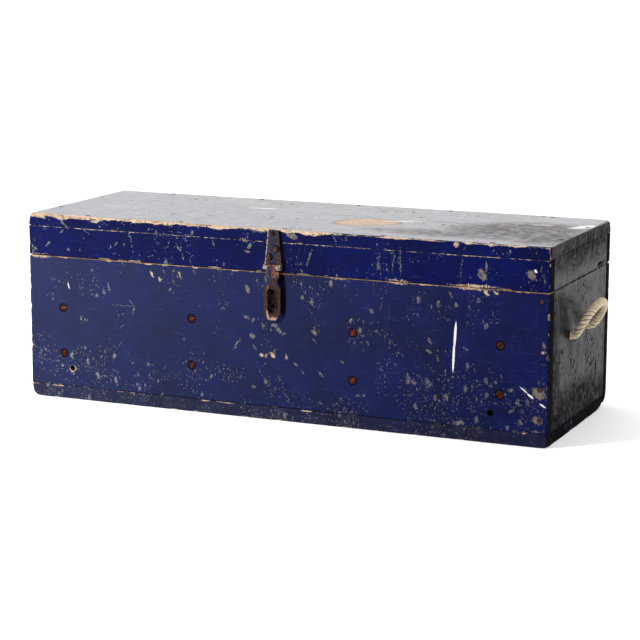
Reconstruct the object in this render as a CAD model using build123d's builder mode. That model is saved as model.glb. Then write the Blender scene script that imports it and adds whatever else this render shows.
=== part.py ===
"""A low carpenter's tool chest: nailed boards, a hinged lid, a hasp and two rope handles.

+Z is up and the front faces -Y. The origin is on the floor, under the middle of the boards.
"""

from build123d import *

import os
from math import pi, radians, tan

os.makedirs("parts", exist_ok=True)

# Driving dimensions, in millimetres.
LENGTH = 838
DEPTH = 304
BOARD = 20
LID_PANEL = 19
BODY_TOP = 222
LID_GAP = 0.8
LID_RAIL_HEIGHT = 45.2
BACK_BOARD_LIFT = 5
EDGE_WEAR = 1.5

HALF_LENGTH = LENGTH / 2
FRONT = -DEPTH / 2
BACK = DEPTH / 2
INNER_X = HALF_LENGTH - BOARD
INNER_FRONT = FRONT + BOARD
INNER_BACK = BACK - BOARD
LID_BOTTOM = BODY_TOP + LID_GAP
PANEL_BOTTOM = LID_BOTTOM + LID_RAIL_HEIGHT
TOP = PANEL_BOTTOM + LID_PANEL

# Tray runners, and the screws that hold them from outside.
RUNNER_DEPTH = 18
RUNNER_HEIGHT = 22
RUNNER_LEVELS = {"lower": 72, "upper": 143}
RUNNER_SCREW_X = (-360, -139, 123, 348)
RUNNER_END_GAP = 1

# Nails: three at each end of the long boards, and rows through the top and bottom.
NAIL_RADIUS = 1.6
NAIL_HEAD_RADIUS = 3.2
NAIL_HEAD = 1.2
NAIL_LENGTH = 48
CORNER_NAIL_X = 407.5
CORNER_NAIL_LEVELS = (40, 84, 210)
ROW_NAIL_X = (-320, -160, 10, 165, 330)
END_ROW_NAIL_Y = (-70, 60)

# Two plain holes through the front board, near its lower corners.
EMPTY_HOLE_RADIUS = 4
EMPTY_HOLES = ((-345.5, 49), (334.7, 44.3))

# Butt hinges on the back.
HINGE_X = 265
HINGE_LENGTH = 75
HINGE_LEAF = 2
HINGE_LEAF_HEIGHT = 31
HINGE_BARREL_RADIUS = 4.5
HINGE_PIN_RADIUS = 2
HINGE_KNUCKLES = 5
HINGE_Y = BACK + HINGE_BARREL_RADIUS
HINGE_Z = BODY_TOP + LID_GAP / 2
KNUCKLE_GAP = 0.4
RUNNING_CLEARANCE = 0.05

# Hasp, hanging from the lid over the staple.
HASP_X = -3
HASP_AXIS_Z = 231
HASP_AXIS_OUT = 4.5
HASP_LEAF = 2.2
HASP_BARREL_RADIUS = 4.5
HASP_PIN_RADIUS = 2
HASP_WIDTH = 27
HASP_MIDDLE_KNUCKLE = 14
STRAP = 2.4
STRAP_OUT = 4.2
SLOT_WIDTH = 14
SLOT_BOTTOM = 163
SLOT_TOP = 200
SLOT_X = HASP_X - 1.2
LIP_WIDTH = 2.2
LIP_HEIGHT = 1.2

# Staple for a padlock, through the slot of the hasp.
STAPLE_WIRE = 2.25
STAPLE_RADIUS = 10
STAPLE_Z = 183.5
STAPLE_OUT = 17.25
STAPLE_DRIVEN = 14
STAPLE_PLATE = 1.6
STAPLE_PLATE_WIDTH = 24
STAPLE_PLATE_HEIGHT = 40

# Rope handles through the end boards, knotted inside.
ROPE_RADIUS = 6.35
ROPE_HOLE_RADIUS = 7.25
ROPE_Z = 144
ROPE_Y = -2
ROPE_HALF_SPACING = 43
ROPE_PIVOT_OUT = 7
KNOT_RADIUS = 17
KNOT_CENTRE = 13
KNOT_TAIL = 12

# Half of a rope loop: out from the end board, along it from the middle, and up from the holes.
LOOP_HALF = (
    (7, -43, 0),
    (15.5, -51, 13.5),
    (26, -42, 31),
    (33.5, -14, 41.5),
)


def save(builder, label):
    """Names a finished piece and writes it."""
    builder.part.label = label
    export_step(builder.part, f"parts/{label}.step")


def facing(x, y, z, direction):
    """A plane at a point of a surface, with its Z out of the surface."""
    across = (1, 0, 0) if abs(direction[0]) < 0.5 else (0, 1, 0)
    return Plane(origin=(x, y, z), x_dir=across, z_dir=direction)


def board(low, high, cutters=(), edge=EDGE_WEAR):
    """A board between two corners with worn edges, less the fasteners that go through it."""
    size = [b - a for a, b in zip(low, high)]
    middle = ((low[0] + high[0]) / 2, (low[1] + high[1]) / 2)
    with BuildPart() as piece:
        with BuildSketch(Plane.XY.offset(low[2])):
            with Locations(middle):
                Rectangle(size[0], size[1])
        extrude(amount=size[2])
        if edge:
            fillet(piece.edges(), edge)
        for cutter in cutters:
            add(cutter.part, mode=Mode.SUBTRACT)
    return piece


def group(fastener, planes):
    """Copies of one fastener, one at each plane, as separate solids."""
    with BuildPart() as pieces:
        with Locations(*planes):
            add(fastener.part)
    return pieces


def turned(*profile):
    """A solid of revolution about Z from (radius, height) points that start and end on the axis."""
    with BuildPart() as piece:
        with BuildSketch(Plane.XZ):
            with BuildLine():
                Polyline(*profile, close=True)
            make_face()
        revolve(axis=Axis.Z)
    return piece


def countersunk_blank(head_radius, shank_radius, length):
    """A countersunk screw without its slot, its head flush with the plane's surface."""
    rim = 0.5
    cone = rim + head_radius - shank_radius
    return turned(
        (0, 0),
        (head_radius, 0),
        (head_radius, -rim),
        (shank_radius, -cone),
        (shank_radius, -length + shank_radius),
        (0, -length),
    )


def slotted(blank, width, depth, head_top=0, angle=0):
    """A screw blank with a slot cut across its head."""
    with BuildPart() as screw:
        add(blank.part)
        with BuildSketch(Plane.XY.offset(head_top - depth)):
            SlotOverall(40, width, rotation=angle)
        extrude(amount=depth + 1, mode=Mode.SUBTRACT)
    return screw


def screw_set(blank, spots, width, depth, head_top=0):
    """Slotted screws as separate solids. Each spot is a plane and the angle of the screw's slot."""
    with BuildPart() as pieces:
        for plane, angle in spots:
            screw = slotted(blank, width, depth, head_top, angle)
            with Locations(plane):
                add(screw.part)
    return pieces


# Fasteners


nail = turned(
    (0, 0),
    (NAIL_HEAD_RADIUS, 0),
    (NAIL_HEAD_RADIUS, -NAIL_HEAD),
    (NAIL_RADIUS, -NAIL_HEAD),
    (NAIL_RADIUS, -NAIL_LENGTH + 4),
    (0, -NAIL_LENGTH),
)
runner_screw = countersunk_blank(5.6, 2.6, 36)
leaf_screw = countersunk_blank(4, 2, 18)
staple_screw = countersunk_blank(2.8, 1.4, 14)

DOME_RADIUS = 5.5
DOME_HEIGHT = 4


def dome_blank(length):
    """A round-head screw without its slot, its head standing on the plane's surface."""
    curve = (DOME_RADIUS**2 + DOME_HEIGHT**2) / (2 * DOME_HEIGHT)
    with BuildPart() as piece:
        with BuildSketch(Plane.XZ):
            with BuildLine():
                RadiusArc((0, DOME_HEIGHT), (DOME_RADIUS, 0), curve)
                Polyline((DOME_RADIUS, 0), (2, 0), (2, 2 - length), (0, -length), (0, DOME_HEIGHT))
            make_face()
        revolve(axis=Axis.Z)
    return piece


dome_screw = dome_blank(16)


def runner_screw_spots(y, direction, angles):
    """The planes of the eight screws through one long board, with the angle of each slot."""
    spots = [(x, z) for x in RUNNER_SCREW_X for z in RUNNER_LEVELS.values()]
    return [(facing(x, y, z, direction), angle) for (x, z), angle in zip(spots, angles)]


front_screw_spots = runner_screw_spots(FRONT, (0, -1, 0), (82, 4, 76, 12, 55, 68, 40, 48))
back_screw_spots = runner_screw_spots(BACK, (0, 1, 0), (15, 70, 120, 35, 90, 5, 60, 150))
front_screw_holes = group(runner_screw, [plane for plane, _ in front_screw_spots])
back_screw_holes = group(runner_screw, [plane for plane, _ in back_screw_spots])

front_runner_screws = screw_set(runner_screw, front_screw_spots, 1.5, 1.6)
back_runner_screws = screw_set(runner_screw, back_screw_spots, 1.5, 1.6)
save(front_runner_screws, "front_runner_screws")
save(back_runner_screws, "back_runner_screws")

corner_spots = [(side * CORNER_NAIL_X, z) for side in (-1, 1) for z in CORNER_NAIL_LEVELS]
front_nails = group(nail, [facing(x, FRONT, z, (0, -1, 0)) for x, z in corner_spots])
back_nails = group(
    nail,
    [facing(x, BACK, z, (0, 1, 0)) for x, z in corner_spots]
    + [facing(x, BACK, 12, (0, 1, 0)) for x in ROW_NAIL_X],
)
bottom_nails = group(
    nail,
    [facing(x, FRONT + 10, 0, (0, 0, -1)) for x in ROW_NAIL_X]
    + [facing(side * 409, y, 0, (0, 0, -1)) for side in (-1, 1) for y in END_ROW_NAIL_Y],
)
lid_panel_nails = group(
    nail,
    [facing(x, y, TOP, (0, 0, 1)) for y in (FRONT + 10, BACK - 10) for x in ROW_NAIL_X]
    + [facing(side * 409, y, TOP, (0, 0, 1)) for side in (-1, 1) for y in END_ROW_NAIL_Y],
)
LID_CORNER_NAIL_Z = LID_BOTTOM + 23
lid_corner_nails = group(
    nail,
    [facing(side * 409, FRONT, LID_CORNER_NAIL_Z, (0, -1, 0)) for side in (-1, 1)]
    + [facing(side * 409, BACK, LID_CORNER_NAIL_Z, (0, 1, 0)) for side in (-1, 1)],
)
save(front_nails, "front_nails")
save(back_nails, "back_nails")
save(bottom_nails, "bottom_nails")
save(lid_panel_nails, "lid_panel_nails")
save(lid_corner_nails, "lid_corner_nails")


# Butt hinges


def knuckle_spans(count, length, gap):
    """The start and end of each knuckle along a hinge's barrel, from its middle."""
    pitch = length / count
    starts = [-length / 2 + i * pitch for i in range(count)]
    return [(start + gap / 2, start + pitch - gap / 2) for start in starts]


def hinge_leaf(middle, is_lower):
    """One leaf of a butt hinge with its knuckles, its countersinks cut by its screws."""
    spans = knuckle_spans(HINGE_KNUCKLES, HINGE_LENGTH, KNUCKLE_GAP)
    own = spans[0::2] if is_lower else spans[1::2]
    clearance = 0 if is_lower else RUNNING_CLEARANCE
    sign = -1 if is_lower else 1
    near = HINGE_Z + sign * (HINGE_BARREL_RADIUS + 0.5)
    far = HINGE_Z + sign * HINGE_LEAF_HEIGHT
    with BuildPart() as leaf:
        with BuildSketch(Plane.XZ.offset(-BACK)):
            with Locations((middle, (near + far) / 2)):
                RectangleRounded(HINGE_LENGTH, abs(far - near), 2)
            for start, end in own:
                with Locations((middle + (start + end) / 2, (near + HINGE_Z) / 2 + sign)):
                    Rectangle(end - start, abs(near - HINGE_Z) + 2)
        extrude(amount=-HINGE_LEAF)
        for start, end in own:
            with BuildSketch(Plane.YZ.offset(middle + start)):
                with Locations((HINGE_Y, HINGE_Z)):
                    Circle(HINGE_BARREL_RADIUS)
            extrude(amount=end - start)
        with BuildSketch(Plane.YZ.offset(middle - HINGE_LENGTH)):
            with Locations((HINGE_Y, HINGE_Z)):
                Circle(HINGE_PIN_RADIUS + clearance)
        extrude(amount=2 * HINGE_LENGTH, mode=Mode.SUBTRACT)
        holes = lower_hinge_holes if is_lower else upper_hinge_holes
        add(holes.part, mode=Mode.SUBTRACT)
    return leaf


def hinge_screw_spots(middle, sign):
    """The three screws of one leaf, the middle one further from the barrel."""
    surface = BACK + HINGE_LEAF
    offsets = ((-26, 12, 20), (0, 21, 75), (26, 12, 140))
    return [
        (facing(middle + along, surface, HINGE_Z + sign * up, (0, 1, 0)), angle)
        for along, up, angle in offsets
    ]


HINGE_MIDDLES = {"left": -HINGE_X, "right": HINGE_X}
lower_hinge_spots = [s for x in HINGE_MIDDLES.values() for s in hinge_screw_spots(x, -1)]
upper_hinge_spots = [s for x in HINGE_MIDDLES.values() for s in hinge_screw_spots(x, 1)]
lower_hinge_holes = group(leaf_screw, [plane for plane, _ in lower_hinge_spots])
upper_hinge_holes = group(leaf_screw, [plane for plane, _ in upper_hinge_spots])
lower_hinge_screws = screw_set(leaf_screw, lower_hinge_spots, 1.1, 1.1)
upper_hinge_screws = screw_set(leaf_screw, upper_hinge_spots, 1.1, 1.1)
save(lower_hinge_screws, "lower_hinge_screws")
save(upper_hinge_screws, "upper_hinge_screws")

for side, x in HINGE_MIDDLES.items():
    save(hinge_leaf(x, True), f"{side}_hinge_lower_leaf")
    save(hinge_leaf(x, False), f"{side}_hinge_upper_leaf")

PIN_HEAD = 1.5
with BuildPart() as hinge_pins:
    for x in HINGE_MIDDLES.values():
        with BuildSketch(Plane.YZ.offset(x - HINGE_LENGTH / 2)):
            with Locations((HINGE_Y, HINGE_Z)):
                Circle(HINGE_PIN_RADIUS)
        extrude(amount=HINGE_LENGTH)
        for start in (x - HINGE_LENGTH / 2 - PIN_HEAD, x + HINGE_LENGTH / 2):
            with BuildSketch(Plane.YZ.offset(start)):
                with Locations((HINGE_Y, HINGE_Z)):
                    Circle(HINGE_PIN_RADIUS + 1.4)
            extrude(amount=PIN_HEAD)
save(hinge_pins, "hinge_pins")


# Hasp


def out(distance):
    """The Y of a point that stands this far out from the front."""
    return FRONT - distance


def front_plane(distance):
    """The plane this far out from the front, seen from the front: X right, Z up."""
    return Plane(origin=(0, out(distance), 0), x_dir=(1, 0, 0), z_dir=(0, -1, 0))


def barrel(start, end, radius):
    """A cylinder along the hasp's axis, between two distances from its middle."""
    with BuildPart() as cylinder:
        with BuildSketch(Plane.YZ.offset(HASP_X + start)):
            with Locations((out(HASP_AXIS_OUT), HASP_AXIS_Z)):
                Circle(radius)
        extrude(amount=end - start)
    return cylinder.part


HASP_SCREWS = ((-6, 246), (5.4, 258.5))
HASP_TOP_SCREW = (0.7, 281)
hasp_dome_spots = [
    (facing(HASP_X + x, out(HASP_LEAF), z, (0, -1, 0)), angle)
    for (x, z), angle in zip(HASP_SCREWS, (25, 130))
]
hasp_top_plane = facing(HASP_X + HASP_TOP_SCREW[0], out(HASP_LEAF), HASP_TOP_SCREW[1], (0, -1, 0))
hasp_top_screw = countersunk_blank(3.6, 1.9, 16)
hasp_dome_holes = group(dome_screw, [plane for plane, _ in hasp_dome_spots])
hasp_top_hole = group(hasp_top_screw, [hasp_top_plane])

hasp_screws = screw_set(dome_screw, hasp_dome_spots, 1.2, 1.6, DOME_HEIGHT)
with BuildPart() as hasp_fixings:
    add(hasp_screws.part)
    with Locations(hasp_top_plane):
        add(slotted(hasp_top_screw, 1.1, 1.1, 0, 90).part)
save(hasp_fixings, "hasp_screws")

LEAF_BOTTOM = HASP_AXIS_Z + HASP_BARREL_RADIUS + 0.6
LEAF_TOP = TOP - 0.8
LEAF_HALF_BOTTOM = 13.3
LEAF_HALF_TOP = 8.3
middle_half = HASP_MIDDLE_KNUCKLE / 2
outer_start = middle_half + KNUCKLE_GAP / 2
outer_end = HASP_WIDTH / 2
with BuildPart() as hasp_leaf:
    with BuildSketch(front_plane(0)):
        with BuildLine():
            Polyline(
                (HASP_X - LEAF_HALF_BOTTOM, LEAF_BOTTOM),
                (HASP_X + LEAF_HALF_BOTTOM, LEAF_BOTTOM),
                (HASP_X + LEAF_HALF_TOP, LEAF_TOP),
                (HASP_X - LEAF_HALF_TOP, LEAF_TOP),
                close=True,
            )
        leaf_face = make_face()
        fillet(leaf_face.vertices().sort_by(Axis.Y)[-2:], 3)
        for start, end in ((-outer_end, -outer_start), (outer_start, outer_end)):
            with Locations((HASP_X + (start + end) / 2, (HASP_AXIS_Z + LEAF_BOTTOM) / 2 + 1)):
                Rectangle(end - start, LEAF_BOTTOM - HASP_AXIS_Z + 2)
    extrude(amount=HASP_LEAF)
    add(barrel(-outer_end, -outer_start, HASP_BARREL_RADIUS))
    add(barrel(outer_start, outer_end, HASP_BARREL_RADIUS))
    add(barrel(-outer_end - 1, outer_end + 1, HASP_PIN_RADIUS), mode=Mode.SUBTRACT)
    add(hasp_dome_holes.part, mode=Mode.SUBTRACT)
    add(hasp_top_hole.part, mode=Mode.SUBTRACT)
save(hasp_leaf, "hasp_leaf")

with BuildPart() as hasp_pin:
    add(barrel(-outer_end, outer_end, HASP_PIN_RADIUS))
save(hasp_pin, "hasp_pin")

# The strap's outline, right half: half width and height, from the knuckle down.
STRAP_OUTLINE = (
    (6.8, HASP_AXIS_Z),
    (6.8, 225.6),
    (11, 224.4),
    (11, 217.5),
    (8.4, 213.5),
    (8, 210.5),
    (9.4, 207),
    (13.4, 201),
    (13.4, 163),
    (5.8, 152.6),
)
slot_middle = (SLOT_X, (SLOT_BOTTOM + SLOT_TOP) / 2)
slot_height = SLOT_TOP - SLOT_BOTTOM
with BuildPart() as hasp_strap:
    with BuildSketch(front_plane(STRAP_OUT)):
        with BuildLine():
            right_side = [(HASP_X + half, z) for half, z in STRAP_OUTLINE]
            left_side = [(HASP_X - half, z) for half, z in reversed(STRAP_OUTLINE)]
            Polyline(*right_side, *left_side, close=True)
        make_face()
    extrude(amount=STRAP)
    with BuildSketch(front_plane(STRAP_OUT + STRAP)):
        with Locations(slot_middle):
            SlotOverall(slot_height + 2 * LIP_WIDTH, SLOT_WIDTH + 2 * LIP_WIDTH, rotation=90)
    extrude(amount=LIP_HEIGHT, taper=20)
    add(barrel(-middle_half, middle_half, HASP_BARREL_RADIUS))
    with BuildSketch(front_plane(0)):
        with Locations(slot_middle):
            SlotOverall(slot_height, SLOT_WIDTH, rotation=90)
    extrude(amount=2 * HASP_AXIS_OUT, mode=Mode.SUBTRACT)
    bore = barrel(-outer_end, outer_end, HASP_PIN_RADIUS + RUNNING_CLEARANCE)
    add(bore, mode=Mode.SUBTRACT)
save(hasp_strap, "hasp_strap")


# Staple

leg_end = STAPLE_OUT - STAPLE_RADIUS
STAPLE_X = SLOT_X
upper_leg = STAPLE_Z + STAPLE_RADIUS
lower_leg = STAPLE_Z - STAPLE_RADIUS
with BuildPart() as staple:
    with BuildLine(Plane.YZ.offset(STAPLE_X)):
        Line((out(-STAPLE_DRIVEN), upper_leg), (out(leg_end), upper_leg))
        ThreePointArc((out(leg_end), upper_leg), (out(STAPLE_OUT), STAPLE_Z), (out(leg_end), lower_leg))
        Line((out(leg_end), lower_leg), (out(-STAPLE_DRIVEN), lower_leg))
    with BuildSketch(facing(STAPLE_X, out(-STAPLE_DRIVEN), upper_leg, (0, -1, 0))):
        Circle(STAPLE_WIRE)
    sweep()
save(staple, "staple")

staple_screw_spots = [
    (facing(STAPLE_X + side * 8, out(STAPLE_PLATE), STAPLE_Z + up * 15.5, (0, -1, 0)), angle)
    for side, up, angle in ((-1, -1, 10), (1, -1, 80), (-1, 1, 45), (1, 1, 120))
]
staple_screw_holes = group(staple_screw, [plane for plane, _ in staple_screw_spots])
staple_screws = screw_set(staple_screw, staple_screw_spots, 0.9, 0.9)
save(staple_screws, "staple_screws")

with BuildPart() as staple_plate:
    with BuildSketch(front_plane(0)):
        with Locations((STAPLE_X, STAPLE_Z)):
            RectangleRounded(STAPLE_PLATE_WIDTH, STAPLE_PLATE_HEIGHT, 3)
    extrude(amount=STAPLE_PLATE)
    add(staple.part, mode=Mode.SUBTRACT)
    add(staple_screw_holes.part, mode=Mode.SUBTRACT)
save(staple_plate, "staple_plate")


# Boards of the body

with BuildPart() as empty_holes:
    with BuildSketch(front_plane(1)):
        with Locations(*EMPTY_HOLES):
            Circle(EMPTY_HOLE_RADIUS)
    extrude(amount=-BOARD - 2)

with BuildPart() as rope_holes:
    with BuildSketch(Plane.YZ.offset(-HALF_LENGTH - 1)):
        with Locations((ROPE_Y - ROPE_HALF_SPACING, ROPE_Z), (ROPE_Y + ROPE_HALF_SPACING, ROPE_Z)):
            Circle(ROPE_HOLE_RADIUS)
    extrude(amount=LENGTH + 2)

bottom_board = board((-HALF_LENGTH, FRONT, 0), (HALF_LENGTH, INNER_BACK, BOARD), [bottom_nails, back_nails])
front_board = board(
    (-HALF_LENGTH, FRONT, BOARD),
    (HALF_LENGTH, INNER_FRONT, BODY_TOP),
    [front_screw_holes, front_nails, bottom_nails, empty_holes, staple, staple_screw_holes],
)
back_board = board(
    (-HALF_LENGTH, INNER_BACK, BACK_BOARD_LIFT),
    (HALF_LENGTH, BACK, BODY_TOP),
    [back_screw_holes, back_nails, lower_hinge_holes],
)
left_end_board = board(
    (-HALF_LENGTH, INNER_FRONT, BOARD),
    (-INNER_X, INNER_BACK, BODY_TOP),
    [front_nails, back_nails, bottom_nails, rope_holes],
)
right_end_board = board(
    (INNER_X, INNER_FRONT, BOARD),
    (HALF_LENGTH, INNER_BACK, BODY_TOP),
    [front_nails, back_nails, bottom_nails, rope_holes],
)
save(bottom_board, "bottom_board")
save(front_board, "front_board")
save(back_board, "back_board")
save(left_end_board, "left_end_board")
save(right_end_board, "right_end_board")

runner_x = INNER_X - RUNNER_END_GAP
for level, middle_z in RUNNER_LEVELS.items():
    low_z = middle_z - RUNNER_HEIGHT / 2
    high_z = middle_z + RUNNER_HEIGHT / 2
    front_runner = board(
        (-runner_x, INNER_FRONT, low_z),
        (runner_x, INNER_FRONT + RUNNER_DEPTH, high_z),
        [front_screw_holes],
    )
    back_runner = board(
        (-runner_x, INNER_BACK - RUNNER_DEPTH, low_z),
        (runner_x, INNER_BACK, high_z),
        [back_screw_holes],
    )
    save(front_runner, f"front_{level}_runner")
    save(back_runner, f"back_{level}_runner")


# Boards of the lid

lid_panel = board(
    (-HALF_LENGTH, FRONT, PANEL_BOTTOM),
    (HALF_LENGTH, BACK, TOP),
    [lid_panel_nails, hasp_top_hole],
)
lid_front_rail = board(
    (-HALF_LENGTH, FRONT, LID_BOTTOM),
    (HALF_LENGTH, INNER_FRONT, PANEL_BOTTOM),
    [lid_panel_nails, lid_corner_nails, hasp_dome_holes, hasp_top_hole],
)
lid_back_rail = board(
    (-HALF_LENGTH, INNER_BACK, LID_BOTTOM),
    (HALF_LENGTH, BACK, PANEL_BOTTOM),
    [lid_panel_nails, lid_corner_nails, upper_hinge_holes],
)
lid_left_rail = board(
    (-HALF_LENGTH, INNER_FRONT, LID_BOTTOM),
    (-INNER_X, INNER_BACK, PANEL_BOTTOM),
    [lid_panel_nails, lid_corner_nails],
)
lid_right_rail = board(
    (INNER_X, INNER_FRONT, LID_BOTTOM),
    (HALF_LENGTH, INNER_BACK, PANEL_BOTTOM),
    [lid_panel_nails, lid_corner_nails],
)
save(lid_panel, "lid_panel")
save(lid_front_rail, "lid_front_rail")
save(lid_back_rail, "lid_back_rail")
save(lid_left_rail, "lid_left_rail")
save(lid_right_rail, "lid_right_rail")


# Rope handles


def arc_radii(points):
    """The radius of the tangent arc at each corner of a route: 0.45 of the shorter run."""
    found = []
    for before, here, after in zip(points, points[1:], points[2:]):
        first = Vector(*here) - Vector(*before)
        second = Vector(*after) - Vector(*here)
        half_turn = radians(first.get_angle(second)) / 2
        found.append(0.45 * min(first.length, second.length) / tan(half_turn))
    return found


loop_right = [(o, y, z) for o, y, z in LOOP_HALF] + [(o, -y, z) for o, y, z in reversed(LOOP_HALF)]


def rope_route(side):
    """The loop of one handle in the chest's frame. Side is 1 for the right end, -1 for the left."""
    return [(side * (HALF_LENGTH + o), ROPE_Y + y, ROPE_Z + z) for o, y, z in loop_right]


def rope_loop(side):
    """The part of a handle outside the end board, with a ball at each end that turns in the bend."""
    route = rope_route(side)
    radii = arc_radii(route)
    print("rope loop arc radii", [round(r, 1) for r in radii])
    with BuildPart() as loop:
        with BuildLine():
            path = FilletPolyline(*route, radius=radii)
        with BuildSketch(Plane(origin=path @ 0, z_dir=path % 0)):
            Circle(ROPE_RADIUS)
        sweep()
        expected = pi * ROPE_RADIUS**2 * path.length
        print("rope loop volume", round(loop.part.volume), "section x length", round(expected))
        with Locations(route[0], route[-1]):
            Sphere(ROPE_RADIUS)
    return loop


def rope_ends(side):
    """The two straight stretches of a handle's rope through the end board."""
    start = side * INNER_X
    length = BOARD + ROPE_PIVOT_OUT - ROPE_RADIUS - RUNNING_CLEARANCE
    with BuildPart() as ends:
        with BuildSketch(Plane(origin=(start, ROPE_Y, ROPE_Z), x_dir=(0, 1, 0), z_dir=(side, 0, 0))):
            with Locations((-ROPE_HALF_SPACING, 0), (ROPE_HALF_SPACING, 0)):
                Circle(ROPE_RADIUS)
        extrude(amount=length)
    return ends


def rope_knot():
    """A stopper knot with its tail, below the plane: a ball cut flat where it meets the board."""
    flat_radius = (KNOT_RADIUS**2 - KNOT_CENTRE**2) ** 0.5
    neck_depth = KNOT_CENTRE + (KNOT_RADIUS**2 - ROPE_RADIUS**2) ** 0.5
    tail_end = neck_depth + KNOT_TAIL
    with BuildPart() as knot:
        with BuildSketch(Plane.XZ):
            with BuildLine():
                ThreePointArc((flat_radius, 0), (KNOT_RADIUS, -KNOT_CENTRE), (ROPE_RADIUS, -neck_depth))
                Polyline(
                    (ROPE_RADIUS, -neck_depth),
                    (ROPE_RADIUS, -tail_end),
                    (0, -tail_end),
                    (0, 0),
                    (flat_radius, 0),
                )
            make_face()
        revolve(axis=Axis.Z)
    return knot


knot = rope_knot()
for side_name, side in (("left", -1), ("right", 1)):
    save(rope_loop(side), f"{side_name}_rope_loop")
    save(rope_ends(side), f"{side_name}_rope_ends")
    knot_planes = [
        facing(side * INNER_X, ROPE_Y + offset, ROPE_Z, (side, 0, 0))
        for offset in (-ROPE_HALF_SPACING, ROPE_HALF_SPACING)
    ]
    save(group(knot, knot_planes), f"{side_name}_rope_knots")
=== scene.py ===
"""The looks of the wooden tool chest: worn navy paint over boards, rusty hardware and laid rope.

Lengths are in millimetres up to the point where a mesh or an object is made.
"""

import math
from functools import partial
from itertools import product

import bpy
import numpy as np
from mathutils import Matrix, Vector


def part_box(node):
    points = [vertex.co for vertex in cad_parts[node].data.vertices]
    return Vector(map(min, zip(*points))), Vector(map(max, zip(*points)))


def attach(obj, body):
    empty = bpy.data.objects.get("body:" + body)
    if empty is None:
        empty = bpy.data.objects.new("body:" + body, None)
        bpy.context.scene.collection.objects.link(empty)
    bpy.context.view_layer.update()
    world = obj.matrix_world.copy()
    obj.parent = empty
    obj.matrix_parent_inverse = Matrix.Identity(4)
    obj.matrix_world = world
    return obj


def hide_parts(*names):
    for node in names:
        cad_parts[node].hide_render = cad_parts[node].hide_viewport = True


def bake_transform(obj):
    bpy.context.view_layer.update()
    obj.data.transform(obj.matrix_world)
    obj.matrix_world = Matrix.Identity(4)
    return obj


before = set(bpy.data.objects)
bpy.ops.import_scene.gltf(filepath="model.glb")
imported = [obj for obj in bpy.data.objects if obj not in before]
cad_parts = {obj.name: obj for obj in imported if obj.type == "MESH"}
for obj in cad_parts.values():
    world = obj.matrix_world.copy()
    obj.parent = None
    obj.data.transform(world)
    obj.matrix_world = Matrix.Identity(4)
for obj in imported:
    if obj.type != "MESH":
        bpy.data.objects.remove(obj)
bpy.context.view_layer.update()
MM = 0.001

# As in part.py.
HALF_LENGTH, HALF_DEPTH = 419, 152
HASP_X = -3
# The hasp's leaf narrows between these heights.
LEAF_FOOT, LEAF_TOP = 236, 286


# Camera and light


def add(name, data):
    """A new object in the scene."""
    thing = bpy.data.objects.new(name, data)
    bpy.context.scene.collection.objects.link(thing)
    return thing


scene = bpy.context.scene
scene.view_settings.view_transform = "Standard"

YAW, PITCH, ROLL = map(math.radians, (23.509, 10.815, 0.192))
camera = add("camera", bpy.data.cameras.new("camera"))
camera.data.lens = 116.18
camera.data.sensor_width = 36
camera.data.clip_end = 60
camera.matrix_world = (
    Matrix.Translation((1.2511, -2.8642, 0.7227))
    @ Matrix.Rotation(YAW, 4, "Z")
    @ Matrix.Rotation(math.pi / 2 - PITCH, 4, "X")
    @ Matrix.Rotation(ROLL, 4, "Z")
)
scene.camera = camera


LIGHT_FROM, LIGHT_TO = Vector((-1.7, -2.1, 1.45)), Vector((-0.1, -0.15, 0.15))
key = add("key", bpy.data.lights.new("key", "AREA"))
key.data.size = 0.5
key.data.energy = 110
key.location = LIGHT_FROM
key.rotation_euler = (LIGHT_TO - LIGHT_FROM).to_track_quat("-Z", "Y").to_euler()
key.visible_camera = False


# Materials


def rgb(red, green, blue):
    """A display colour, 0 to 255, as linear light."""
    values = [v / 255 for v in (red, green, blue)]
    return [v / 12.92 if v < 0.04045 else ((v + 0.055) / 1.055) ** 2.4 for v in values] + [1]


def new_node(tree, kind, values=(), output=0, **settings):
    """A node with its inputs linked or set. Returns one of its outputs."""
    node = tree.nodes.new("ShaderNode" + kind)
    for key, value in settings.items():
        setattr(node, key, value)
    for key, value in dict(values).items():
        if isinstance(value, bpy.types.NodeSocket):
            tree.links.new(value, node.inputs[key])
        else:
            node.inputs[key].default_value = value
    return None if output is None else node.outputs[output]


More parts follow.
